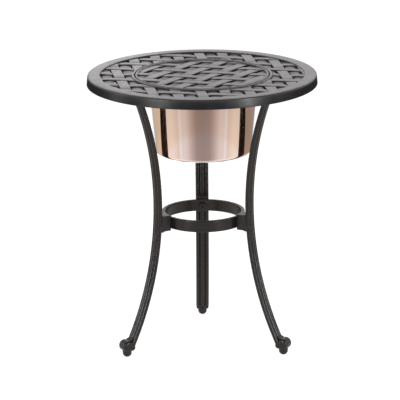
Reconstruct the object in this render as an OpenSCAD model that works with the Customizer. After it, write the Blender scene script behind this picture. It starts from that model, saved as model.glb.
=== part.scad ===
// Bistro table with ice bucket: a round cast top pierced in a basket weave, a bucket
// that hangs in its middle under a lift-off lid, and three reeded legs held by a ring.
// Millimetres, +Z up, origin on the floor at the centre of the table.

/* [Top] */
// Height of the table over the floor
top_h = 638; // [600:1:700]
// Diameter over the flat top, inside its rounded edge
top_d = 520; // [500:1:560]
// Width of the plain border round the weave
border_w = 27.6; // [22:0.5:36]
// Depth of the apron under the top
apron_h = 22; // [21:0.5:32]
// How far the apron flares out on its way down
apron_flare = 2.2; // [0:0.1:5]
// Wall of the apron
apron_wall = 5; // [4:0.5:7]
// Radius of the rounded top edge
edge_r = 4; // [2:0.5:5]
// Thickness of the plain border
border_t = 6; // [5:0.5:8]

/* [Opening] */
// Diameter of the opening that the lid drops into
hole_d = 307.4; // [290:0.2:320]
// Width of the raised ring round the opening
hole_ring_w = 6.6; // [5:0.2:9]
// Clearance between the bucket's side and the ledge that carries its flange
ledge_gap = 3.7; // [2:0.1:6]
// Thickness of the ledge
ledge_t = 4; // [3:0.5:5]

/* [Weave] */
// Distance between two crossings along a strap
weave_pitch = 56.6; // [50:0.2:64]
// Width of a strap that runs over and under
strap_w = 23; // [18:0.5:24]
// Width of a cross strap
cross_w = 21.5; // [16:0.5:26]
// Width of a filler strap, which stays under every cross strap
filler_w = 22.4; // [16:0.5:24]
// Thickness of a strap
strap_t = 6; // [5.5:0.1:6.5]
// Rise of a strap from under a crossing to the top of one
weave_rise = 5.5; // [4:0.1:5.5]
// Rise of a filler strap between two cross straps
filler_rise = 3.2; // [2:0.1:5]
// How far the weave's highest face lies under the border
weave_drop = 1; // [0:0.1:2]
// Direction of the table's cross straps, in degrees from +X
top_weave_dir = -12.85; // [-40:0.05:40]
// Angle from the table's cross straps to its long straps
top_weave_skew = 110.1; // [65:0.1:115]
// Direction of the lid's cross straps, in degrees from +X
lid_weave_dir = -15.8; // [-40:0.05:40]
// Angle from the lid's cross straps to its long straps
lid_weave_skew = 72.15; // [65:0.05:115]

/* [Lid] */
// Gap between the lid and the ring round the opening
lid_gap = 1.9; // [1:0.1:3]
// Width of the lid's rim
lid_rim_w = 5.4; // [4:0.2:8]
// Depth of the lid's rim
lid_h = 14; // [13.2:0.1:14.5]

/* [Bucket] */
// Outside diameter of the bucket under its flange
bucket_d = 254.6; // [240:0.2:270]
// Outside diameter of the bucket's floor
bucket_floor_d = 222; // [180:0.2:230]
// Depth of the bucket from its flange to its floor
bucket_h = 167; // [120:1:200]
// Wall of the bucket
bucket_wall = 1.2; // [0.8:0.1:2]
// Radius of the bucket's lower corner
bucket_corner_r = 10; // [5:0.5:14]
// Gap between the bucket's flange and the ring round the opening
flange_gap = 3.2; // [2:0.1:5]
// Clearance that the bucket and the lid rest with
rest_gap = 0.3; // [0.2:0.1:0.5]

/* [Legs] */
// Distance from the table's axis to the middle of a leg at its waist
waist_r = 120.5; // [114:0.5:130]
// Height of the waist
waist_z = 345; // [320:1:370]
// Radius of the arc that each leg bows inward by
bow_r = 700; // [660:5:800]
// Diameter of a leg's middle reed
reed_mid_d = 13.6; // [11:0.2:16]
// Diameter of a leg's side reeds
reed_side_d = 10; // [8:0.2:12]
// Distance from the middle reed to each side reed
reed_pitch = 10.2; // [8.5:0.1:11]
// Diameter of the scrolled toe
toe_d = 26; // [22:0.5:28]
// Distance from the table's axis to the middle of the toe
toe_r = 209; // [206:0.5:211]
// Height of the toe's underside over the glide
toe_lift = 0.4; // [0.2:0.1:2]
// Diameter of a glide
glide_d = 20.6; // [18:0.2:24]
// Height of a glide under the foot
glide_h = 12.6; // [11:0.1:13.2]
// Distance from the table's axis to a glide
glide_r = 206.8; // [205:0.2:209]
// Diameter of a glide's stem
glide_stem_d = 8; // [6:0.5:10]

/* [Brace] */
// Outside diameter of the ring that holds the legs
brace_d = 191; // [180:1:200]
// Thickness of the ring
brace_t = 8.5; // [7:0.5:10]
// Height of the ring's band
brace_h = 27; // [22:0.5:30]
// Height of the middle of the ring
brace_z = 303.5; // [290:0.5:320]
// Width of the block between the ring and a leg
block_w = 27; // [24:0.5:28]
// Height of the block between the ring and a leg
block_h = 36; // [30:0.5:40]
// Diameter of the brace screws
brace_screw_d = 8; // [6:1:10]
// Diameter of the leg bolts under the top
leg_bolt_d = 6; // [5:1:8]
// Clearance round each screw
screw_gap = 0.2; // [0.1:0.05:0.4]

/* [Hidden] */
$fn = 96;

cast_color = "dimgray";
dark_color = "darkslategray";
copper_color = "lightsalmon";
steel_color = "silver";
glide_color = "black";

leg_dirs = [90, 210, 330];
eps = 0.01;

// How far a cut runs past what it cuts
cut = 1;

top_r = top_d / 2;
apron_r = top_r + apron_flare;
field_r = top_r - border_w;
hole_r = hole_d / 2;
hole_ring_r = hole_r + hole_ring_w;

// Heights of what is stacked in the opening
lid_z = top_h - lid_h;
flange_z = lid_z - rest_gap - bucket_wall;
ledge_z = flange_z - rest_gap;
under_z = ledge_z - ledge_t;

lid_r = hole_r - lid_gap;
lid_weave_r = lid_r - lid_rim_w;
weave_bite = 3;
weave_top_z = top_h - weave_drop;
weave_depth = weave_rise + strap_t;
weave_ease = 2;
weave_ramp = 9;
lip_w = 6;
lip_h = weave_drop + weave_depth + 1;
lid_round = 1.6;

// Centre of one over-crossing of each weave
top_weave_at = [29.2, -28];
lid_weave_at = [10.9, -24.5];

bucket_r = bucket_d / 2;
bucket_floor_r = bucket_floor_d / 2;
bucket_z = flange_z - bucket_h;
flange_r = hole_r - flange_gap;
ledge_r = bucket_r + ledge_gap;

// Each leg is drawn in its own plane, outward along +X, and turned to its place
bow_x = waist_r + bow_r;
leg_half_w = reed_pitch + reed_side_d / 2;
leg_foot_z = 24;
toe_z = glide_h + toe_lift + toe_d / 2;
toe_inset = 0.7;
toe_len = 2 * (leg_half_w - toe_inset);
toe_round = 6;
neck_w = 2 * reed_pitch - 3;
neck_z = toe_z + 20;
neck_drop = 2;
heel_d = 15;
heel_z = 22.5;
heel_round = 3.25;
foot_d = 22;
drain_d = 3.4;
drain_z = 19;
glide_flat = 0.6;
glide_stem_h = 12;

// The dome is a little wider than the glide, so that it meets the glide's side at an edge
dome_r = glide_d / 2 + 0.5;

// Screws, bolts and washers
washer_t = 1.6;
brace_washer_d = 16;
brace_head_d = 13;
brace_head_h = 8;
brace_hex = 6.9;
brace_hex_deep = 4.8;
brace_bite = 11;
leg_washer_d = 12;
leg_head_d = 11.5;
leg_head_h = 4;

// The plate on top of a leg and the boss that it is bolted to
leg_plate_t = 6;
leg_plate_l = 36;
leg_bolt_y = leg_half_w + leg_washer_d / 2 + 2;
leg_plate_w = 2 * leg_bolt_y + leg_washer_d + 4;
leg_plate_z = under_z - leg_plate_t;
leg_plate_x = leg_x(under_z);
leg_top_z = under_z - leg_plate_t / 2;
boss_l = leg_plate_l + 2;
boss_w = leg_plate_w + 2;
boss_z = weave_top_z - weave_depth + strap_t / 2;
bolt_end_z = boss_z - 2.3;
bolt_tip_gap = 0.5;

brace_r = brace_d / 2;
brace_in_r = brace_r - brace_t;
brace_round = 2.2;
block_in = sqrt(brace_r * brace_r - block_w * block_w / 4) - cut;
pad_proud = 2.2;
pad_x = leg_x(brace_z) - reed_mid_d / 2 - pad_proud;
pad_t = leg_x(brace_z) - pad_x;
pad_w = block_w + 1;
pad_h = block_h + 3;
spot_d = 17;
spot_x = brace_in_r + 0.3;

// Distance from the table's axis to the middle of a leg at a height
function leg_x(z) = bow_x - sqrt(bow_r * bow_r - (z - waist_z) * (z - waist_z));

// Angle along a leg's arc at a height
function leg_angle(z) = asin((z - waist_z) / bow_r);

// A ring standing on z, cut square
module tube(z, h, r_out, r_in) {
    translate([0, 0, z]) difference() {
        cylinder(h = h, r = r_out);
        translate([0, 0, -cut]) cylinder(h = h + 2 * cut, r = r_in);
    }
}

// A rectangle with rounded corners
module round_square(w, h, r) {
    union() {
        translate([r, 0]) square([w - 2 * r, h]);
        translate([0, r]) square([w, h - 2 * r]);
        for (x = [r, w - r], y = [r, h - r]) translate([x, y]) circle(r);
    }
}

// Turns what is drawn outward along +X to the direction of a leg
module at_leg(dir) {
    rotate([0, 0, dir]) children();
}

// A strap on its side: its top face runs high for hi either side of each crest and low
// for the rest of the period, with straight ramps between, from one end to the other
module strap(ends, period, hi, rise, w, z) {
    crests = [for (k = [floor(ends[0] / period):ceil(ends[1] / period)]) k * period];
    steps = [[-hi - weave_ramp, 0], [-hi, rise], [hi, rise], [hi + weave_ramp, 0]];
    top_line = [for (c = crests) for (q = steps) [c + q[0], z - rise + q[1]]];
    under_line = [for (k = [len(top_line) - 1:-1:0]) top_line[k] - [0, strap_t]];
    rotate([90, 0, 0])
        linear_extrude(height = w, center = true)
            polygon(concat(top_line, under_line));
}

// Lays a strap in the direction dir with a crest at the point at, if it crosses the panel
module lay(at, dir, panel_r, period, hi, rise, w, z) {
    along = [cos(dir), sin(dir)];
    past = at * along;
    if (abs(cross(along, at)) < panel_r + w / 2)
        translate([at[0], at[1], 0]) rotate([0, 0, dir])
            strap([-panel_r - past, panel_r - past], period, hi, rise, w, z);
}

// A woven panel: cross straps run along +X turned by dir, and long straps skew further;
// between the long straps run fillers that stay under all the cross straps
module weave(at, dir, skew, panel_r, z) {
    long_dir = dir + skew;
    along = weave_pitch * [cos(dir), sin(dir)];
    across = weave_pitch * [cos(long_dir), sin(long_dir)];
    slant = sin(skew);
    reach = ceil((panel_r + norm(at)) / (weave_pitch * slant));
    cross_hi = weave_pitch - (strap_w / 2 + weave_ease) / slant - weave_ramp;
    cover = (cross_w / 2 + weave_ease) / slant;
    for (n = [-reach:reach]) {
        cross_at = at + n * across + (n % 2 == 0 ? along : [0, 0]);
        lay(cross_at, dir, panel_r, 2 * weave_pitch, cross_hi, weave_rise, cross_w, z);
    }
    for (m = [-reach:reach]) {
        long_at = at + m * along + (m % 2 == 0 ? [0, 0] : across);
        lay(long_at, long_dir, panel_r, 2 * weave_pitch,
            weave_pitch - cover - weave_ramp, weave_rise, strap_w, z);
        lay(at + (m + 0.5) * along + 0.5 * across, long_dir, panel_r, weave_pitch,
            weave_pitch / 2 - cover - weave_ramp / 2, filler_rise, filler_w,
            z - weave_rise + filler_rise);
    }
}

// The plain border with its rounded edge and flared apron
module border() {
    rotate_extrude() union() {
        polygon([
            [field_r, top_h], [top_r - edge_r, top_h], [top_r - edge_r, top_h - edge_r],
            [top_r, top_h - edge_r], [apron_r, top_h - apron_h], [apron_r - apron_wall, top_h - apron_h],
            [top_r - apron_wall, top_h - border_t], [field_r + lip_w, top_h - border_t],
            [field_r + lip_w, top_h - lip_h], [field_r, top_h - lip_h]
        ]);
        translate([top_r - edge_r, top_h - edge_r]) circle(edge_r);
    }
}

// The ring round the opening and the ledge inside it
module opening_ring() {
    rotate_extrude() polygon([
        [ledge_r, under_z], [hole_ring_r, under_z], [hole_ring_r, top_h],
        [hole_r, top_h], [hole_r, ledge_z], [ledge_r, ledge_z]
    ]);
}

// Places what is drawn at each of the bolts that hold the legs to the top
module at_leg_bolts() {
    for (dir = leg_dirs, side = [-1, 1])
        at_leg(dir) translate([leg_plate_x, side * leg_bolt_y, 0]) children();
}

// A flat boss under the weave, that a leg's plate is bolted to
module leg_boss() {
    translate([leg_plate_x - boss_l / 2, -boss_w / 2, under_z]) cube([boss_l, boss_w, boss_z - under_z]);
}

module table_top() {
    color(cast_color) difference() {
        union() {
            border();
            opening_ring();
            intersection() {
                weave(top_weave_at, top_weave_dir, top_weave_skew, field_r + weave_bite, weave_top_z);
                tube(0, top_h, field_r + weave_bite, hole_ring_r - weave_bite);
            }
            for (dir = leg_dirs) at_leg(dir) leg_boss();
        }
        translate([0, 0, ledge_z]) cylinder(h = top_h, r = hole_r);
        at_leg_bolts() translate([0, 0, under_z - cut])
            cylinder(h = bolt_end_z + bolt_tip_gap - under_z + cut, d = leg_bolt_d + screw_gap);
    }
}

module lid() {
    color(cast_color) union() {
        rotate_extrude() translate([lid_weave_r, lid_z]) round_square(lid_rim_w, lid_h, lid_round);
        intersection() {
            weave(lid_weave_at, lid_weave_dir, lid_weave_skew, lid_weave_r + weave_bite, weave_top_z);
            cylinder(h = top_h, r = lid_weave_r + weave_bite);
        }
    }
}

// A spun shell: the outside of the bucket less the same cone set in by the wall
module bucket_cone(inset, z) {
    slope = (bucket_r - bucket_floor_r) / bucket_h;
    low_r = bucket_floor_r - inset;
    lean = atan(slope);
    corner = bucket_corner_r - inset;
    foot = corner * tan(45 - lean / 2);
    rotate_extrude() union() {
        polygon([
            [0, z], [low_r - foot, z], [low_r - foot, z + corner],
            [low_r - foot + corner * cos(lean), z + corner - corner * sin(lean)],
            [bucket_r - inset, flange_z + bucket_wall], [0, flange_z + bucket_wall]
        ]);
        translate([low_r - foot, z + corner]) circle(corner);
    }
}

module ice_bucket() {
    color(copper_color) difference() {
        union() {
            bucket_cone(0, bucket_z);
            translate([0, 0, flange_z]) cylinder(h = bucket_wall, r = flange_r);
        }
        translate([0, 0, bucket_wall]) bucket_cone(bucket_wall, bucket_z);
    }
}

// The three reeds of a leg, swept along its arc from the foot to the plate
module leg_reeds() {
    low = leg_angle(leg_foot_z);
    high = leg_angle(leg_top_z);
    translate([bow_x, 0, waist_z]) rotate([90, 0, 0]) rotate([0, 0, 180 - high])
        rotate_extrude(angle = high - low, $fn = 360) union() {
            translate([bow_r, 0]) circle(d = reed_mid_d, $fn = 48);
            for (y = [-reed_pitch, reed_pitch]) translate([bow_r, y]) circle(d = reed_side_d, $fn = 48);
        }
}

// A roll that lies across a leg, with rounded ends
module roll(x, z, d, r) {
    translate([x, 0, z]) rotate([90, 0, 0]) translate([0, 0, -toe_len / 2]) rotate_extrude() union() {
        square([d / 2 - r, toe_len]);
        translate([0, r]) square([d / 2, toe_len - 2 * r]);
        for (y = [r, toe_len - r]) translate([d / 2 - r, y]) circle(r);
    }
}

// The web that runs from the front of a leg down to the top of its toe
module toe_neck() {
    rotate([90, 0, 0]) linear_extrude(height = neck_w, center = true) polygon([
        [leg_x(neck_z), neck_z], [toe_r, toe_z + toe_d / 2 - neck_drop],
        [toe_r, toe_z - neck_drop], [leg_x(toe_z), toe_z - neck_drop]
    ]);
}

module leg() {
    color(dark_color) difference() {
        union() {
            leg_reeds();
            toe_neck();
            translate([leg_plate_x - leg_plate_l / 2, -leg_plate_w / 2, leg_plate_z])
                cube([leg_plate_l, leg_plate_w, leg_plate_t]);
            translate([pad_x, -pad_w / 2, brace_z - pad_h / 2]) cube([pad_t, pad_w, pad_h]);
            roll(toe_r, toe_z, toe_d, toe_round);
            roll(leg_x(heel_z), heel_z, heel_d, heel_round);
            translate([glide_r, 0, glide_h]) cylinder(h = toe_z - glide_h, d = foot_d);
        }
        for (side = [-1, 1]) translate([leg_plate_x, side * leg_bolt_y, leg_plate_z - cut])
            cylinder(h = leg_plate_t + 2 * cut, d = leg_bolt_d + 2 * screw_gap);
        translate([pad_x - cut, 0, brace_z]) rotate([0, 90, 0])
            cylinder(h = brace_bite + 2 * cut, d = brace_screw_d + screw_gap);
        translate([glide_r, 0, glide_h - cut])
            cylinder(h = glide_stem_h + 2 * cut, d = glide_stem_d + screw_gap);
        translate([leg_x(drain_z) - heel_d, 0, drain_z]) rotate([0, 90, 0])
            cylinder(h = heel_d, d = drain_d);
    }
}

module glide() {
    color(glide_color) union() {
        intersection() {
            translate([glide_r, 0, dome_r - glide_flat]) sphere(r = dome_r);
            translate([glide_r, 0, 0]) cylinder(h = dome_r - glide_flat, d = glide_d);
        }
        translate([glide_r, 0, dome_r - glide_flat - eps])
            cylinder(h = glide_h - dome_r + glide_flat + eps, d = glide_d);
        translate([glide_r, 0, glide_h - eps]) cylinder(h = glide_stem_h + eps, d = glide_stem_d);
    }
}

module brace_ring() {
    color(dark_color) difference() {
        rotate_extrude() translate([brace_in_r, brace_z - brace_h / 2])
            round_square(brace_t, brace_h, brace_round);
        for (dir = leg_dirs) at_leg(dir) translate([0, 0, brace_z]) rotate([0, 90, 0]) {
            cylinder(h = spot_x, d = spot_d);
            cylinder(h = brace_r + cut, d = brace_screw_d + 2 * screw_gap);
        }
    }
}

// Fills the space between the ring's round outside and the flat pad of a leg
module brace_block() {
    color(dark_color) difference() {
        translate([block_in, -block_w / 2, brace_z - block_h / 2])
            cube([pad_x - block_in, block_w, block_h]);
        translate([0, 0, brace_z - block_h]) cylinder(h = 2 * block_h, r = brace_r);
        translate([0, 0, brace_z]) rotate([0, 90, 0])
            cylinder(h = pad_x + cut, d = brace_screw_d + 2 * screw_gap);
    }
}

// A washer, bored to clear a screw
module washer(d, screw_d) {
    difference() {
        cylinder(h = washer_t, d = d);
        translate([0, 0, -cut]) cylinder(h = washer_t + 2 * cut, d = screw_d + 2 * screw_gap);
    }
}

module brace_screws() {
    head_x = spot_x - washer_t - brace_head_h;
    color(steel_color) for (dir = leg_dirs) at_leg(dir) translate([head_x, 0, brace_z])
        rotate([0, 90, 0]) difference() {
            union() {
                cylinder(h = brace_head_h, d = brace_head_d);
                cylinder(h = pad_x + brace_bite - head_x, d = brace_screw_d);
            }
            translate([0, 0, -cut]) cylinder(h = brace_hex_deep + cut, d = brace_hex, $fn = 6);
        }
}

module brace_washers() {
    color(steel_color) for (dir = leg_dirs) at_leg(dir) translate([spot_x - washer_t, 0, brace_z])
        rotate([0, 90, 0]) washer(brace_washer_d, brace_screw_d);
}

module leg_bolts() {
    head_z = leg_plate_z - washer_t - leg_head_h;
    color(steel_color) at_leg_bolts() translate([0, 0, head_z]) union() {
        cylinder(h = leg_head_h, d = leg_head_d, $fn = 6);
        cylinder(h = bolt_end_z - head_z, d = leg_bolt_d);
    }
}

module leg_washers() {
    color(steel_color) at_leg_bolts() translate([0, 0, leg_plate_z - washer_t])
        washer(leg_washer_d, leg_bolt_d);
}

table_top();
lid();
ice_bucket();
at_leg(leg_dirs[0]) leg();  // leg_rear
at_leg(leg_dirs[1]) leg();  // leg_left
at_leg(leg_dirs[2]) leg();  // leg_right
at_leg(leg_dirs[0]) glide();  // glide_rear
at_leg(leg_dirs[1]) glide();  // glide_left
at_leg(leg_dirs[2]) glide();  // glide_right
brace_ring();
at_leg(leg_dirs[0]) brace_block();  // brace_block_rear
at_leg(leg_dirs[1]) brace_block();  // brace_block_left
at_leg(leg_dirs[2]) brace_block();  // brace_block_right
brace_screws();
brace_washers();
leg_bolts();
leg_washers();
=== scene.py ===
"""A bistro table with an ice bucket: the looks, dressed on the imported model.

Sizes are millimetres, as in the part's source, until a mesh is made in metres.
"""

import math

import bmesh
import bpy
from mathutils import Matrix, Vector


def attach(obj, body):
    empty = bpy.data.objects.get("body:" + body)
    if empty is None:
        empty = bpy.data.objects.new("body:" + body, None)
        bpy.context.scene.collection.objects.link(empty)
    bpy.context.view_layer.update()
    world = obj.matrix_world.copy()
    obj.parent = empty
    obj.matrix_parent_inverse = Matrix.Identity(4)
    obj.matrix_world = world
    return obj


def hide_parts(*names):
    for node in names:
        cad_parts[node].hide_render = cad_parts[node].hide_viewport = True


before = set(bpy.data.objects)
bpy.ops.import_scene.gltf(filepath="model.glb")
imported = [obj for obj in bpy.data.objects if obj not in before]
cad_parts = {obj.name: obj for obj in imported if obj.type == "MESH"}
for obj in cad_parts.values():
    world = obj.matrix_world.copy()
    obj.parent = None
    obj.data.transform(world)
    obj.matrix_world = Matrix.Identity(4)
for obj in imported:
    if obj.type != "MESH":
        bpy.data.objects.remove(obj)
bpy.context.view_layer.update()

MM = 0.001

# The top and its border
TOP_H = 638.0
TOP_R = 260.0
BORDER_W = 27.6
BORDER_T = 6.0
APRON_H = 22.0
APRON_FLARE = 2.2
APRON_WALL = 5.0
EDGE_R = 4.0
FIELD_R = TOP_R - BORDER_W
LIP_W = 6.0
LIP_H = 13.5

# The opening, the lid and the ledge
HOLE_R = 153.7
HOLE_RING_W = 6.6
LEDGE_R = 131.0
LEDGE_Z = 622.2
UNDER_Z = 618.2
LID_R = 151.8
LID_RIM_W = 5.4
LID_H = 14.0

# The weave
PITCH = 56.6
STRAP_W = 23.0
CROSS_W = 21.5
FILLER_W = 22.4
STRAP_T = 6.0
WEAVE_RISE = 4.4
FILLER_RISE = 1.9
WEAVE_DROP = 2.1
WEAVE_Z = TOP_H - WEAVE_DROP
WEAVE_BITE = 3.0

# How a strap's top sinks where it passes under another, and how its length is divided
DIP = 1.5
FILLER_DIP = 0.7
LEVEL_SHARE = 0.5
TUCK = 6.0
STRAP_STEP = 2.4
STRAP_PAST = 8.0

# A strap's outline across: its shoulders, the crown of each kind, and the long straps' raised edges
SHOULDER_R = 0.9
CROSS_CROWN = 0.6
STRAP_CROWN = 0.25
FILLER_CROWN = 0.8
STRAP_LIFT = 0.2

# Each panel's crossing point, its straps' direction and the angle between its two sets
TOP_WEAVE = {"at": (29.2, -28.0), "dir": -12.85, "skew": 110.1}
LID_WEAVE = {"at": (10.9, -24.5), "dir": -15.8, "skew": 72.15}

# The bucket
BUCKET_R = 127.3
BUCKET_FLOOR_R = 111.0
BUCKET_H = 167.0
BUCKET_WALL = 1.2
BUCKET_CORNER_R = 10.0
BUCKET_CORNER_STEPS = 14
BUCKET_STEPS = 384
BUCKET_CENTRE_R = 0.02
FLANGE_R = 150.5
FLANGE_Z = 622.5
FLANGE_EDGE_R = 0.5

# The legs' bolts, which the top's bosses take
LEG_DIRS = (90.0, 210.0, 330.0)
LEG_TOP_R = 176.0
BOLT_Y = 23.2
BOSS_L = 38.0
BOSS_W = 64.4
BOSS_Z = 628.5
BOLT_HOLE_R = 3.1
BOLT_HOLE_TOP_Z = 626.7

# How finely a ring is turned, and how far a cutting shape reaches past what it cuts
LATHE_STEPS = 288
CUT_PAST = 4.0

# The powder coat's patterns, in features per metre
GRAIN = 620.0
CASTING_WAVES = 55.0
BLOTCHES = 16.0

# How much of the rub's colour shows at most, and how the roughness varies and rises in a recess
RUB_SHARE = 0.55
ROUGH_SPREAD = 0.04
RECESS_ROUGH = 0.07

# The coat's bumps, as strength and distance in metres
WAVE_BUMP = (0.35, 0.0006)
GRAIN_BUMP = (0.4, 0.00016)

# The studio, in metres: the sky's glow from the horizon to straight up, and the floor
SKY_GLOW = [(0.0, (0.02, 0.02, 0.02)), (0.05, (0.06, 0.06, 0.06)), (0.13, (0.95, 0.93, 0.93)),
            (0.20, (1.1, 1.08, 1.08)), (0.36, (1.0, 1.0, 1.0)), (0.5, (0.3, 0.3, 0.32)),
            (1.0, (0.15, 0.15, 0.15))]
SKY_STRENGTH = 1.0
FLOOR_BOUNCE = (0.03, 0.03, 0.03)
FLOOR_GLOW = 0.96
FLOOR_R = 40.0

# The cards' brightness: from the front round to the back, and from the middle out
CARDS_R = 3.2
CARDS_Z = 0.002
CARDS_FRONT = [(0.0, (0.36, 0.34, 0.35)), (0.08, (0.39, 0.37, 0.38)), (0.133, (0.55, 0.53, 0.53)),
               (0.21, (0.82, 0.86, 0.92)), (0.262, (0.88, 0.90, 0.90)), (0.282, (0.90, 1.06, 1.24)),
               (0.296, (0.90, 1.06, 1.24)), (0.312, (0.86, 0.84, 0.80)), (0.40, (1.0, 1.04, 1.02)),
               (0.54, (1.0, 1.04, 1.02))]
CARDS_RIGHT = [(0.60, (0.42, 0.40, 0.37)), (0.76, (0.50, 0.42, 0.35)), (0.84, (0.40, 0.38, 0.38))]
CARDS_LEFT = [(0.60, (0.92, 0.88, 0.74)), (0.70, (0.88, 0.84, 0.72)), (0.76, (0.66, 0.70, 0.70)),
              (0.82, (1.5, 1.9, 2.3)), (0.95, (1.5, 1.9, 2.3))]
CARDS_OUT = [(0.0, (1.3, 1.4, 1.5)), (0.16, (1.3, 1.35, 1.4)), (0.24, (1.15, 1.2, 1.25)),
             (0.348, (1.02, 1.08, 1.18)), (0.364, (0.95, 0.95, 0.93)), (0.46, (0.8, 0.8, 0.8)),
             (0.6, (0.84, 0.84, 0.85)), (1.0, (0.8, 0.8, 0.8))]

# The cards under the bucket, which its rounded lower edge mirrors, and where they fade
CARDS_MIDDLE = (0.84, 1.08, 1.28)
MIDDLE_FADE = (0.15, 0.45)

# Strip lights: direction round from the front in degrees, and power in watts
STRIPS = ((-43, 20.0), (43, 26.0), (-88, 7.0), (80, 2.0))
STRIP_REACH = 2.6
STRIP_Z = 0.9
STRIP_SIZE = (0.26, 1.8)

# The pool of light on the floor, which everything but the bucket mirrors
POOL_R = 2.0
POOL_Z = 0.004
POOL_POWER = 31.0
POOL_COLOUR = (1.0, 0.92, 0.88)

# The lights over and behind the top: place, aim, size and power
OVER = ((0.0, 1.2, 2.3), (0.0, 0.0, 0.6), (1.6, 1.0), 115.0)
BEHIND = ((-0.2, 0.56, 0.735), (-0.15, 0.15, 0.6), (0.22, 0.06), 0.045)

# The camera: its place before the yaw is in millimetres, its turns in degrees
CAMERA_PLACE = (-7.2, -6031.5, 2012.0)
CAMERA_YAW = -1.0
CAMERA_PITCH = 15.49
CAMERA_ROLL = -0.53
CAMERA_LENS = 245.2
CAMERA_SENSOR = 36.0


# Mesh building

def arc(centre, radius, start, end, steps):
    """Points on an arc of a circle, from one angle to another, in degrees."""
    angles = [math.radians(start + (end - start) * k / steps) for k in range(steps + 1)]
    return [(centre[0] + radius * math.cos(a), centre[1] + radius * math.sin(a)) for a in angles]


def rounded(outline, radii, steps=5):
    """The outline with each corner rounded by its radius."""
    points = []
    for k, corner in enumerate(outline):
        here, radius = Vector(corner), radii[k]
        if radius == 0:
            points.append(tuple(here))
            continue
        before = (Vector(outline[k - 1]) - here).normalized()
        after = (Vector(outline[(k + 1) % len(outline)]) - here).normalized()
        half = before.angle(after) / 2
        run = radius / math.tan(half)
        middle = here + (before + after).normalized() * radius / math.sin(half)
        first, last = here + before * run - middle, here + after * run - middle
        for j in range(steps + 1):
            points.append(tuple(middle + first.slerp(last, j / steps).normalized() * radius))
    return points


def lathe(profile, steps=LATHE_STEPS):
    """A closed ring: a closed outline of (radius, height) turned about the table's axis."""
    bm = bmesh.new()
    rings = []
    for k in range(steps):
        a = 2 * math.pi * k / steps
        rings.append([bm.verts.new((r * math.cos(a) * MM, r * math.sin(a) * MM, z * MM))
                      for r, z in profile])
    bridge(bm, rings, closed=True)
    return finished(bm)


def bridge(bm, rings, closed):
    """Faces between neighbouring rings of points, each ring being a closed loop."""
    following = rings[1:] + rings[:1] if closed else rings[1:]
    for one, two in zip(rings, following):
        for j in range(len(one)):
            i = j - 1
            bm.faces.new((one[i], one[j], two[j], two[i]))
    if not closed:
        bm.faces.new(rings[0])
        bm.faces.new(list(reversed(rings[-1])))


def finished(bm):
    """The mesh data of a bmesh, with its faces turned outward."""
    bmesh.ops.recalc_face_normals(bm, faces=bm.faces)
    mesh = bpy.data.meshes.new("mesh")
    bm.to_mesh(mesh)
    bm.free()
    return mesh


def block(centre, size, turn=0.0):
    """A box given by its centre and size, turned about the vertical."""
    bm = bmesh.new()
    bmesh.ops.create_cube(bm, size=1.0)
    bm.transform(Matrix.Translation(Vector(centre) * MM) @ Matrix.Rotation(math.radians(turn), 4, "Z")
                 @ Matrix.Diagonal((*(Vector(size) * MM), 1.0)))
    return finished(bm)


def rod(centre, radius, low, high, steps=48):
    """A vertical cylinder."""
    bm = bmesh.new()
    bmesh.ops.create_cone(bm, cap_ends=True, segments=steps, radius1=radius * MM, radius2=radius * MM,
                          depth=(high - low) * MM)
    bm.transform(Matrix.Translation((centre[0] * MM, centre[1] * MM, (low + high) / 2 * MM)))
    return finished(bm)


def joined(meshes):
    """Several meshes as one, without welding them."""
    bm = bmesh.new()
    for mesh in meshes:
        bm.from_mesh(mesh)
        bpy.data.meshes.remove(mesh)
    return finished(bm)


def combined(one, two, how):
    """The union, difference or intersection of two closed meshes."""
    base = bpy.data.objects.new("base", one)
    other = bpy.data.objects.new("other", two)
    for o in (base, other):
        bpy.context.scene.collection.objects.link(o)
    cut = base.modifiers.new("cut", "BOOLEAN")
    cut.operation = how
    cut.object = other
    cut.solver = "MANIFOLD"
    depsgraph = bpy.context.evaluated_depsgraph_get()
    mesh = bpy.data.meshes.new_from_object(base.evaluated_get(depsgraph))
    for o in (base, other):
        data = o.data
        bpy.data.objects.remove(o)
        bpy.data.meshes.remove(data)
    return mesh


def show(name, mesh, body, material, sharp=32.0, replaces=()):
    """Adds a finished piece to the scene: smooth, with creases kept, riding on its body."""
    mesh.name = name
    mesh.materials.clear()
    mesh.materials.append(material)
    mesh.shade_smooth()
    mesh.set_sharp_from_angle(angle=math.radians(sharp))
    piece = bpy.data.objects.new(name, mesh)
    bpy.context.scene.collection.objects.link(piece)
    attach(piece, body)
    if replaces:
        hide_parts(*replaces)
    return piece


# The woven straps

def eased(t):
    """A smooth step from 0 to 1."""
    t = min(1.0, max(0.0, t))
    return t * t * (3 - 2 * t)


def strap_section(width, crown, lift):
    """A strap's outline across: a crowned top, edges lifted by lift, rounded shoulders."""
    flat = width / 2 - SHOULDER_R
    top = []
    for k in range(9):
        t = -1 + k / 4
        top.append((flat * t, crown * (1 - t * t) + lift * t ** 4 - crown))
    left = arc((-flat, -SHOULDER_R - crown + lift), SHOULDER_R, 180, 112.5, 3)
    right = arc((flat, -SHOULDER_R - crown + lift), SHOULDER_R, 67.5, 0, 3)
    return left + top + right + [(width / 2, -STRAP_T), (-width / 2, -STRAP_T)]


def strap(at, heading, ends, height, section):
    """A strap laid through the point at along heading; height gives its top along its length."""
    along = Vector((math.cos(heading), math.sin(heading), 0))
    across = Vector((-along.y, along.x, 0))
    count = int((ends[1] - ends[0]) / STRAP_STEP)
    bm = bmesh.new()
    rings = []
    for k in range(count + 1):
        s = ends[0] + (ends[1] - ends[0]) * k / count
        middle = Vector((at[0], at[1], height(s))) + along * s
        rings.append([bm.verts.new((middle + across * x + Vector((0, 0, z))) * MM) for x, z in section])
    bridge(bm, rings, closed=False)
    return finished(bm)


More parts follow.
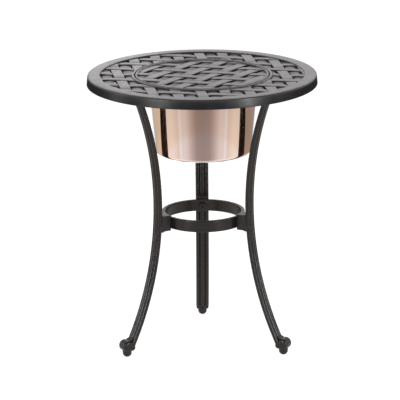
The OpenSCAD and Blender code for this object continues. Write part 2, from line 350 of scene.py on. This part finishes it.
def woven_height(edge, period, dip, rise, top):
    """A strap's top: level at its crest, sunk by dip where a strap covers it, and then deeper."""
    level = LEVEL_SHARE * edge

    def height(s):
        from_crest = abs((s + period / 2) % period - period / 2)
        sunk = min(1.0, max(0.0, (from_crest - level) / (edge - level)))
        return top - dip * sunk ** 2 - (rise - dip) * eased((from_crest - edge) / TUCK)
    return height


def weave(at, dir, skew, panel_r):
    """The straps of a panel as two sets of meshes: cross straps, and long straps with fillers."""
    heading, slant = math.radians(dir), math.sin(math.radians(skew))
    long_heading = math.radians(dir + skew)
    start = Vector(at)
    along = PITCH * Vector((math.cos(heading), math.sin(heading)))
    across = PITCH * Vector((math.cos(long_heading), math.sin(long_heading)))
    reach = math.ceil((panel_r + start.length) / (PITCH * slant))
    cross_edge = PITCH - STRAP_W / 2 / slant
    cover = CROSS_W / 2 / slant
    cross_section = strap_section(CROSS_W, CROSS_CROWN, 0.0)
    long_section = strap_section(STRAP_W, STRAP_CROWN, STRAP_LIFT)
    filler_section = strap_section(FILLER_W, FILLER_CROWN, 0.0)
    cross_height = woven_height(cross_edge, 2 * PITCH, DIP, WEAVE_RISE, WEAVE_Z)
    long_height = woven_height(PITCH - cover, 2 * PITCH, DIP, WEAVE_RISE, WEAVE_Z)
    filler_height = woven_height(PITCH / 2 - cover, PITCH, FILLER_DIP, FILLER_RISE,
                                 WEAVE_Z - WEAVE_RISE + FILLER_RISE)

    def lay(point, heading, height, section, width):
        """A strap through the point, as a list that is empty where it misses the panel."""
        ahead = Vector((math.cos(heading), math.sin(heading)))
        past = point.dot(ahead)
        if abs(ahead.cross(point)) > panel_r + width / 2:
            return []
        ends = (-panel_r - past - STRAP_PAST, panel_r - past + STRAP_PAST)
        return [strap(point, heading, ends, height, section)]

    crossing, running = [], []
    for n in range(-reach, reach + 1):
        point = start + n * across + (along if n % 2 == 0 else Vector((0, 0)))
        crossing += lay(point, heading, cross_height, cross_section, CROSS_W)
    for m in range(-reach, reach + 1):
        point = start + m * along + (Vector((0, 0)) if m % 2 == 0 else across)
        running += lay(point, long_heading, long_height, long_section, STRAP_W)
        point = start + (m + 0.5) * along + 0.5 * across
        running += lay(point, long_heading, filler_height, filler_section, FILLER_W)
    return joined(crossing), joined(running)


def woven_panel(pattern, outer_r, inner_r=None):
    """The weave cut to a disc, or to a ring between two radii."""
    crossing, running = weave(pattern["at"], pattern["dir"], pattern["skew"], outer_r)
    straps = combined(crossing, running, "UNION")
    low, high = WEAVE_Z - WEAVE_RISE - STRAP_T - CUT_PAST, WEAVE_Z + CUT_PAST
    if inner_r is None:
        cutter = rod((0, 0), outer_r, low, high, steps=LATHE_STEPS)
    else:
        cutter = lathe([(inner_r, low), (outer_r, low), (outer_r, high), (inner_r, high)])
    return combined(straps, cutter, "INTERSECT")


# The cast pieces

def border_profile():
    """The border's section: rounded top edge, flared apron, lip round the weave."""
    apron_r = TOP_R + APRON_FLARE
    outline = [
        (FIELD_R, TOP_H), (TOP_R, TOP_H), (apron_r, TOP_H - APRON_H),
        (apron_r - APRON_WALL, TOP_H - APRON_H), (TOP_R - APRON_WALL, TOP_H - BORDER_T),
        (FIELD_R + LIP_W, TOP_H - BORDER_T), (FIELD_R + LIP_W, TOP_H - LIP_H), (FIELD_R, TOP_H - LIP_H),
    ]
    return rounded(outline, [1.2, EDGE_R, 1.4, 1.0, 2.0, 2.0, 1.0, 0.8])


def opening_profile():
    """The section of the ring round the opening and of its ledge."""
    ring_r = HOLE_R + HOLE_RING_W
    outline = [
        (LEDGE_R, UNDER_Z), (ring_r, UNDER_Z), (ring_r, TOP_H),
        (HOLE_R, TOP_H), (HOLE_R, LEDGE_Z), (LEDGE_R, LEDGE_Z),
    ]
    return rounded(outline, [0.8, 1.0, 2.7, 2.7, 0.0, 0.8])


def make_top(material):
    """The top: border, weave, ring with its ledge, and a boss with two bolt holes over each leg."""
    panel = woven_panel(TOP_WEAVE, FIELD_R + WEAVE_BITE, HOLE_R + HOLE_RING_W - WEAVE_BITE)
    body = combined(lathe(border_profile()), panel, "UNION")
    body = combined(body, lathe(opening_profile()), "UNION")
    bosses, holes = [], []
    for angle in LEG_DIRS:
        turn = Matrix.Rotation(math.radians(angle), 2)
        centre = turn @ Vector((LEG_TOP_R, 0))
        size = (BOSS_L, BOSS_W, BOSS_Z - UNDER_Z)
        bosses.append(block((*centre, (UNDER_Z + BOSS_Z) / 2), size, angle))
        for side in (-1, 1):
            place = turn @ Vector((LEG_TOP_R, side * BOLT_Y))
            holes.append(rod(place, BOLT_HOLE_R, UNDER_Z - CUT_PAST, BOLT_HOLE_TOP_Z))
    body = combined(body, joined(bosses), "UNION")
    body = combined(body, joined(holes), "DIFFERENCE")
    return show("woven_top", body, "table", material, replaces=["table_top"])


def make_lid(material):
    """The lid: a rim round its own weave."""
    inner_r, low = LID_R - LID_RIM_W, TOP_H - LID_H
    outline = [(inner_r, low), (LID_R, low), (LID_R, TOP_H), (inner_r, TOP_H)]
    rim = lathe(rounded(outline, [1.2, 1.2, 2.4, 2.4]))
    body = combined(rim, woven_panel(LID_WEAVE, inner_r + WEAVE_BITE), "UNION")
    return show("woven_lid", body, "lid", material, replaces=["lid"])


def make_bucket(material):
    """The spun bucket: a flat flange, a cone with a rounded lower corner, and a flat floor."""
    top, floor_z = FLANGE_Z + BUCKET_WALL, FLANGE_Z - BUCKET_H
    inner_top, inner_floor = BUCKET_R - BUCKET_WALL, BUCKET_FLOOR_R - BUCKET_WALL
    outline = [
        (BUCKET_CENTRE_R, floor_z), (BUCKET_FLOOR_R, floor_z), (BUCKET_R, FLANGE_Z),
        (FLANGE_R, FLANGE_Z), (FLANGE_R, top), (inner_top, top),
        (inner_floor, floor_z + BUCKET_WALL), (BUCKET_CENTRE_R, floor_z + BUCKET_WALL),
    ]
    corner, edge = BUCKET_CORNER_R, FLANGE_EDGE_R
    radii = [0, corner, 0, edge, edge, edge, corner - BUCKET_WALL, 0]
    body = lathe(rounded(outline, radii, BUCKET_CORNER_STEPS), BUCKET_STEPS)
    return show("spun_bucket", body, "bucket", material, replaces=["ice_bucket"])


# Materials

def nodes_of(name):
    """A new material with its shader, its tree and object coordinates."""
    material = bpy.data.materials.new(name)
    material.use_nodes = True
    tree = material.node_tree
    shader = tree.nodes["Principled BSDF"]
    where = tree.nodes.new("ShaderNodeTexCoord").outputs["Object"]
    return material, tree, shader, where


def noise(tree, where, scale, detail=4.0, rough=0.55):
    """A noise pattern; scale is in features per metre."""
    node = tree.nodes.new("ShaderNodeTexNoise")
    node.inputs["Scale"].default_value = scale
    node.inputs["Detail"].default_value = detail
    node.inputs["Roughness"].default_value = rough
    tree.links.new(where, node.inputs["Vector"])
    return node.outputs["Fac"]


def ramp(tree, value, stops):
    """A colour ramp of (position, colour) stops."""
    node = tree.nodes.new("ShaderNodeValToRGB")
    while len(node.color_ramp.elements) < len(stops):
        node.color_ramp.elements.new(1.0)
    for element, (position, colour) in zip(node.color_ramp.elements, stops):
        element.position = position
        element.color = (*colour, 1.0)
    tree.links.new(value, node.inputs["Fac"])
    return node.outputs["Color"]


def spread(tree, value, low, high, to_low, to_high):
    """Maps a value from one range to another."""
    node = tree.nodes.new("ShaderNodeMapRange")
    sockets = ("From Min", "From Max", "To Min", "To Max")
    for socket, number in zip(sockets, (low, high, to_low, to_high)):
        node.inputs[socket].default_value = number
    tree.links.new(value, node.inputs["Value"])
    return node.outputs["Result"]


def mixed(tree, share, one, two, how="MIX"):
    """One colour mixed with another by a share, a number or a value from the tree."""
    node = tree.nodes.new("ShaderNodeMix")
    node.data_type = "RGBA"
    node.blend_type = how
    for key, value in (("Factor_Float", share), ("A_Color", one), ("B_Color", two)):
        socket = next(s for s in node.inputs if s.identifier == key)
        if isinstance(value, (float, int)):
            socket.default_value = value
        elif isinstance(value, tuple):
            socket.default_value = (*value, 1.0)
        else:
            tree.links.new(value, socket)
    return next(s for s in node.outputs if s.identifier == "Result_Color")


def bump(tree, shader, layers):
    """Bumps on the shader's normal, one on another: (height, strength, distance in metres)."""
    normal = None
    for height, strength, distance in layers:
        node = tree.nodes.new("ShaderNodeBump")
        node.inputs["Strength"].default_value = strength
        node.inputs["Distance"].default_value = distance
        tree.links.new(height, node.inputs["Height"])
        if normal is not None:
            tree.links.new(normal, node.inputs["Normal"])
        normal = node.outputs["Normal"]
    tree.links.new(normal, shader.inputs["Normal"])


def powder_coat(name, dark, light, rub, rough, painted_shade_recess=None):
    """A powder coat on cast metal: a fine grain, soft casting waves, and a rub of a warmer tone.

    Below a band of height the colour gets a painted shade, darker toward the bottom, and the coat gets
    rougher: the band's low and high end, and the shade.
    """
    material, tree, shader, where = nodes_of(name)
    grain = noise(tree, where, GRAIN, 4.0, 0.6)
    waves = noise(tree, where, CASTING_WAVES, 3.0, 0.5)
    blotches = noise(tree, where, BLOTCHES, 5.0, 0.65)
    base = ramp(tree, grain, [(0.25, dark), (0.75, light)])
    share = spread(tree, blotches, 0.5, 0.78, 0.0, RUB_SHARE)
    colour = mixed(tree, share, base, rub)
    roughness = spread(tree, waves, 0.3, 0.7, rough - ROUGH_SPREAD, rough + ROUGH_SPREAD)
    if painted_shade_recess is not None:
        low, high, shade = painted_shade_recess
        split = tree.nodes.new("ShaderNodeSeparateXYZ")
        tree.links.new(where, split.inputs["Vector"])
        raised = spread(tree, split.outputs["Z"], low * MM, high * MM, 0.0, 1.0)
        # Painted shade: below the band's high end the colour is multiplied by the shade, fully at the
        # low end, standing in for the shade that falls on low surfaces.
        colour = mixed(tree, raised, mixed(tree, 1.0, colour, shade, "MULTIPLY"), colour)
        total = tree.nodes.new("ShaderNodeMath")
        total.operation = "ADD"
        tree.links.new(roughness, total.inputs[0])
        tree.links.new(spread(tree, raised, 0.0, 1.0, RECESS_ROUGH, 0.0), total.inputs[1])
        roughness = total.outputs["Value"]
    tree.links.new(colour, shader.inputs["Base Color"])
    tree.links.new(roughness, shader.inputs["Roughness"])
    bump(tree, shader, [(waves, *WAVE_BUMP), (grain, *GRAIN_BUMP)])
    return material


def mirror_copper():
    """Polished copper plate with the faint rings that spinning leaves."""
    material, tree, shader, where = nodes_of("mirror_copper")
    shader.inputs["Metallic"].default_value = 1.0
    smudge = noise(tree, where, 9.0, 4.0, 0.6)
    colour = ramp(tree, smudge, [(0.3, (0.80, 0.56, 0.45)), (0.7, (0.84, 0.61, 0.50))])
    tree.links.new(colour, shader.inputs["Base Color"])
    tree.links.new(spread(tree, smudge, 0.3, 0.7, 0.03, 0.06), shader.inputs["Roughness"])
    squeeze = tree.nodes.new("ShaderNodeMapping")
    squeeze.inputs["Scale"].default_value = (1.0, 1.0, 60.0)
    tree.links.new(where, squeeze.inputs["Vector"])
    rings = noise(tree, squeeze.outputs["Vector"], 6.0, 2.0, 0.5)
    bump(tree, shader, [(rings, 0.12, 0.0001)])
    return material


def black_nylon():
    """The moulded glides."""
    material, tree, shader, where = nodes_of("black_nylon")
    grain = noise(tree, where, 500.0)
    tree.links.new(ramp(tree, grain, [(0.3, (0.018, 0.018, 0.018)), (0.7, (0.035, 0.034, 0.033))]),
                   shader.inputs["Base Color"])
    tree.links.new(spread(tree, grain, 0.3, 0.7, 0.32, 0.42), shader.inputs["Roughness"])
    bump(tree, shader, [(grain, 0.2, 0.0001)])
    return material


def black_steel():
    """The blackened screws, bolts and washers."""
    material, tree, shader, where = nodes_of("black_steel")
    grain = noise(tree, where, 700.0)
    tree.links.new(ramp(tree, grain, [(0.3, (0.03, 0.028, 0.027)), (0.7, (0.075, 0.07, 0.068))]),
                   shader.inputs["Base Color"])
    shader.inputs["Metallic"].default_value = 0.8
    tree.links.new(spread(tree, grain, 0.3, 0.7, 0.28, 0.42), shader.inputs["Roughness"])
    bump(tree, shader, [(grain, 0.25, 0.0001)])
    return material


def dress(node, material, sharp=32.0):
    """Gives a CAD node its material and smooth shading with its creases kept."""
    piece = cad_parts[node]
    piece.data.materials.clear()
    piece.data.materials.append(material)
    piece.data.shade_smooth()
    piece.data.set_sharp_from_angle(angle=math.radians(sharp))


# The studio

def sees(tree, what):
    """Whether a ray is of the kind that the light path names."""
    return tree.nodes.new("ShaderNodeLightPath").outputs[what]


def sky():
    """White behind the object; for light and gloss, a sky with a bright band over a dark horizon."""
    world = bpy.data.worlds.new("studio")
    bpy.context.scene.world = world
    world.use_nodes = True
    tree = world.node_tree
    seen = tree.nodes["Background"]
    seen.inputs["Color"].default_value = (1.0, 1.0, 1.0, 1.0)
    lit = tree.nodes.new("ShaderNodeBackground")
    split = tree.nodes.new("ShaderNodeSeparateXYZ")
    tree.links.new(tree.nodes.new("ShaderNodeTexCoord").outputs["Generated"], split.inputs["Vector"])
    glow = ramp(tree, split.outputs["Z"], SKY_GLOW)
    tree.links.new(glow, lit.inputs["Color"])
    lit.inputs["Strength"].default_value = SKY_STRENGTH
    mix = tree.nodes.new("ShaderNodeMixShader")
    tree.links.new(sees(tree, "Is Camera Ray"), mix.inputs["Fac"])
    tree.links.new(lit.outputs["Background"], mix.inputs[1])
    tree.links.new(seen.outputs["Background"], mix.inputs[2])
    tree.links.new(mix.outputs["Shader"], tree.nodes["World Output"].inputs["Surface"])


def disc(name, radius, z, material):
    """A flat disc that belongs to the studio."""
    bm = bmesh.new()
    bmesh.ops.create_circle(bm, cap_ends=True, segments=96, radius=radius)
    bm.transform(Matrix.Translation((0, 0, z)))
    piece = bpy.data.objects.new(name, finished(bm))
    bpy.context.scene.collection.objects.link(piece)
    piece.data.materials.append(material)
    return piece


def pale_floor():
    """The floor: pale where it is seen, and dimmer in the light that it gives back."""
    material, tree, shader, where = nodes_of("floor")
    grain = noise(tree, where, 3.0)
    pale = ramp(tree, grain, [(0.3, (0.09, 0.09, 0.09)), (0.7, (0.10, 0.10, 0.10))])
    seen = sees(tree, "Is Camera Ray")
    tree.links.new(mixed(tree, seen, FLOOR_BOUNCE, pale), shader.inputs["Base Color"])
    tree.links.new(spread(tree, seen, 0.0, 1.0, 0.0, FLOOR_GLOW), shader.inputs["Emission Strength"])
    shader.inputs["Emission Color"].default_value = (1.0, 1.0, 1.0, 1.0)
    shader.inputs["Roughness"].default_value = 0.9
    disc("floor", FLOOR_R, 0.0, material)


def cards(bucket):
    """The cards laid on the floor round the mirror-bright bucket, which show only in its gloss."""
    material, tree, shader, where = nodes_of("cards")
    shader.inputs["Base Color"].default_value = (0.0, 0.0, 0.0, 1.0)
    shader.inputs["Specular IOR Level"].default_value = 0.0
    turn = tree.nodes.new("ShaderNodeMapping")
    turn.inputs["Rotation"].default_value = (0.0, 0.0, -math.pi / 2)
    tree.links.new(where, turn.inputs["Vector"])
    around = tree.nodes.new("ShaderNodeTexGradient")
    around.gradient_type = "RADIAL"
    tree.links.new(turn.outputs["Vector"], around.inputs["Vector"])
    far = tree.nodes.new("ShaderNodeVectorMath")
    far.operation = "LENGTH"
    tree.links.new(where, far.inputs[0])
    right, left = CARDS_FRONT + CARDS_RIGHT, CARDS_FRONT + CARDS_LEFT
    by_side = ramp(tree, around.outputs["Fac"], [(p / 2, c) for p, c in right]
                   + [(1 - p / 2, c) for p, c in reversed(left)])
    by_reach = ramp(tree, spread(tree, far.outputs["Value"], 0.0, CARDS_R, 0.0, 1.0), CARDS_OUT)
    both = mixed(tree, 1.0, by_side, by_reach, "MULTIPLY")
    near = spread(tree, far.outputs["Value"], *MIDDLE_FADE, 1.0, 0.0)
    tree.links.new(mixed(tree, near, both, CARDS_MIDDLE), shader.inputs["Emission Color"])
    shader.inputs["Emission Strength"].default_value = 1.0
    piece = disc("cards", CARDS_R, CARDS_Z, material)
    piece.visible_camera = piece.visible_diffuse = piece.visible_shadow = False
    piece.visible_transmission = False
    shown_in = bpy.data.collections.new("shows_cards")
    shown_in.objects.link(bucket)
    piece.light_linking.receiver_collection = shown_in


def lamp(name, place, aim, size, power):
    """A soft rectangular light that the camera doesn't see."""
    light = bpy.data.lights.new(name, "AREA")
    light.shape = "RECTANGLE"
    light.size, light.size_y = size
    light.energy = power
    piece = bpy.data.objects.new(name, light)
    piece.location = place
    piece.rotation_euler = (Vector(aim) - Vector(place)).to_track_quat("-Z", "Y").to_euler()
    piece.visible_camera = False
    bpy.context.scene.collection.objects.link(piece)
    return piece


def lamps(bucket):
    """Strips and a pool of light for the gloss alone, and soft lights over and behind the top."""
    for k, (angle, power) in enumerate(STRIPS):
        a = math.radians(angle)
        place = Vector((STRIP_REACH * math.sin(a), -STRIP_REACH * math.cos(a), STRIP_Z))
        strip = lamp(f"strip_{k}", place, (0, 0, STRIP_Z), STRIP_SIZE, power)
        strip.visible_diffuse = False
    over = lamp("over", *OVER)
    over.visible_glossy = False
    pool = lamp("pool", (0, 0, POOL_Z), (0, 0, 1), (POOL_R * 2, POOL_R * 2), POOL_POWER)
    pool.data.shape = "DISK"
    pool.data.color = POOL_COLOUR
    pool.visible_diffuse = False
    others = bpy.data.collections.new("all_but_bucket")
    others.objects.link(bucket)
    others.collection_objects[0].light_linking.link_state = "EXCLUDE"
    pool.light_linking.receiver_collection = others
    lamp("behind", *BEHIND)


def studio(bucket):
    """A pale floor, a pale sky, soft lights and the bucket's cards."""
    bpy.context.scene.view_settings.view_transform = "Standard"
    sky()
    pale_floor()
    cards(bucket)
    lamps(bucket)


def camera():
    """The photograph's view: long lens, fifteen degrees down, a little off the axis and rolled."""
    yaw = Matrix.Rotation(math.radians(CAMERA_YAW), 4, "Z")
    pitch = Matrix.Rotation(math.radians(90 - CAMERA_PITCH), 4, "X")
    roll = Matrix.Rotation(math.radians(CAMERA_ROLL), 4, "Z")
    place = yaw @ (Vector(CAMERA_PLACE) * MM)
    data = bpy.data.cameras.new("camera")
    data.sensor_width = CAMERA_SENSOR
    data.lens = CAMERA_LENS
    data.clip_end = 100.0
    piece = bpy.data.objects.new("camera", data)
    piece.matrix_world = Matrix.Translation(place) @ yaw @ pitch @ roll
    bpy.context.scene.collection.objects.link(piece)
    bpy.context.scene.camera = piece


camera()

# The top's coat takes painted shade below 635.4 mm, over the fillers, the straps' sunk ends and the
# apron, full at 632 mm.
TOP_COAT = powder_coat("charcoal_top", (0.054, 0.051, 0.051), (0.086, 0.081, 0.081),
                       (0.098, 0.086, 0.082), 0.30, painted_shade_recess=(632.0, 635.4, (0.26, 0.26, 0.29)))
LEG_COAT = powder_coat("charcoal_leg", (0.010, 0.009, 0.008), (0.034, 0.028, 0.025),
                       (0.062, 0.044, 0.035), 0.27)
COPPER = mirror_copper()
NYLON = black_nylon()
STEEL = black_steel()

make_top(TOP_COAT)
make_lid(TOP_COAT)
studio(make_bucket(COPPER))
for side in ("rear", "left", "right"):
    dress(f"leg_{side}", LEG_COAT)
    dress(f"glide_{side}", NYLON)
    dress(f"brace_block_{side}", LEG_COAT)
dress("brace_ring", LEG_COAT)
for name in ("brace_screws", "brace_washers", "leg_bolts", "leg_washers"):
    dress(name, STEEL)
